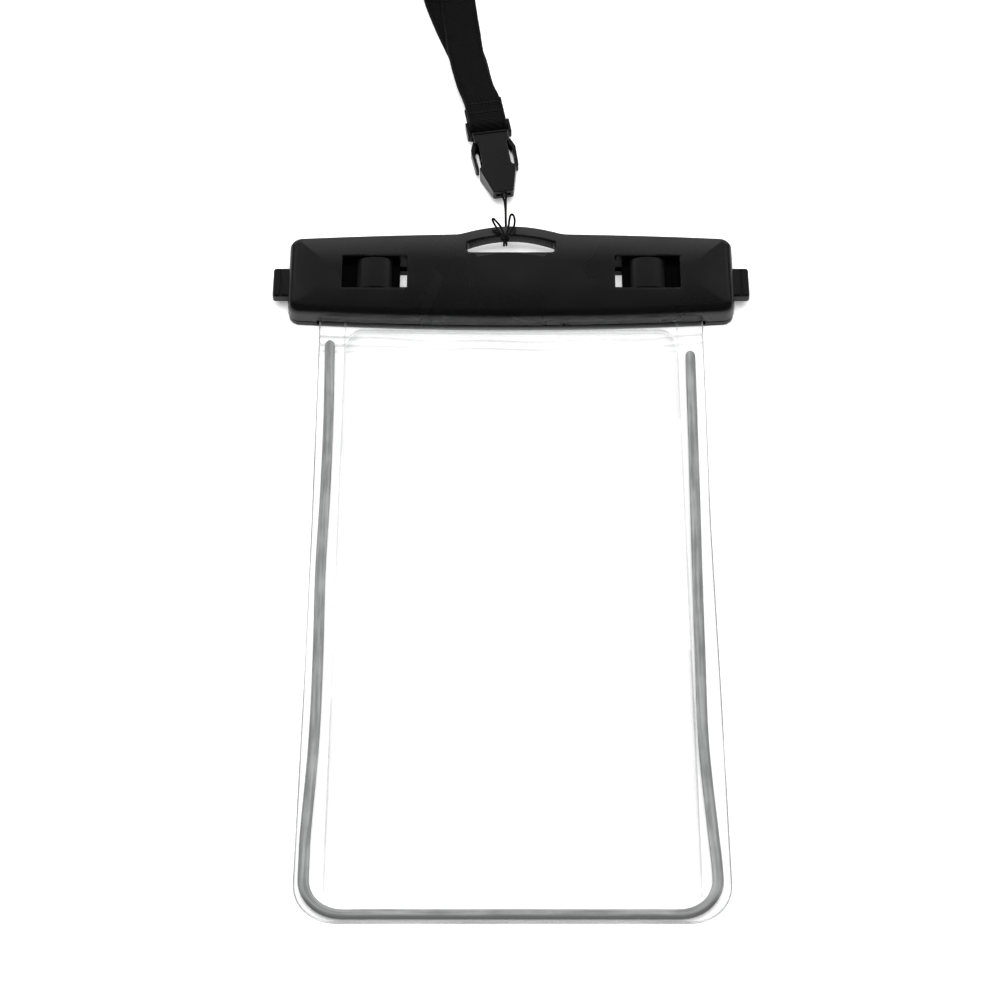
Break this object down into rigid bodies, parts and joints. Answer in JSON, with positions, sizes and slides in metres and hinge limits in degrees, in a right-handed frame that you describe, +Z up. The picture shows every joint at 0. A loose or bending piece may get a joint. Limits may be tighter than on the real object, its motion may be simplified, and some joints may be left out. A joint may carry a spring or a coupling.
{
  "type": "waterproof phone pouch",
  "caption": "Clear film pocket with a rigid locking closure, sliding locks, a hang slot, a luminous strip in the weld, and a neck strap on a side-release buckle.",
  "frame": {"origin": "on the table, at the middle of the box of the pouch without its cord, buckle and strap", "axes": "+Z up from the table with the closure's windowed face up, +Y from the pocket's bottom towards the closure, +X to the right"},
  "size_m": [0.125, 0.4136, 0.011],
  "materials": {
    "closure_plastic": "satin black moulded plastic",
    "lock_plastic": "satin black moulded plastic",
    "seal_rubber": "soft silicone rubber",
    "clear_film": "clear glossy flexible film",
    "luminous_strip": "translucent grey film strip",
    "cord": "thin braided black cord",
    "buckle_plastic": "semi-gloss black acetal",
    "webbing": "black woven polyester webbing"
  },
  "bodies": {
    "pouch": {"front_jaw": "closure_plastic", "upper_seal": "seal_rubber", "front_film": "clear_film", "rear_film": "clear_film", "luminous_strip": "luminous_strip", "tether_cord": "cord", "buckle_socket": "buckle_plastic"},
    "rear_jaw": {"rear_jaw": "closure_plastic", "lower_seal": "seal_rubber"},
    "right_lock": {"right_lock": "lock_plastic"},
    "left_lock": {"left_lock": "lock_plastic"},
    "neck_strap": {"buckle_plug": "buckle_plastic", "strap_sewn_tab": "webbing", "strap_front_leg": "webbing", "strap_rear_leg": "webbing", "strap_coil_middle": "webbing", "strap_coil": "webbing", "coil_tie": "webbing"}
  },
  "joints": [
    {"name": "right_lock_slide", "type": "slide", "parent": "pouch", "child": "right_lock", "axis": [-1, 0, 0], "range_m": [0, 0.0034]},
    {"name": "left_lock_slide", "type": "slide", "parent": "pouch", "child": "left_lock", "axis": [1, 0, 0], "range_m": [0, 0.0034]},
    {"name": "rear_jaw_release", "type": "slide", "parent": "pouch", "child": "rear_jaw", "axis": [0, 0, -1], "range_m": [0, 0.014]},
    {"name": "buckle_release", "type": "slide", "parent": "pouch", "child": "neck_strap", "axis": [-0.1616, 0.9869, 0], "range_m": [0, 0.016]}
  ]
}
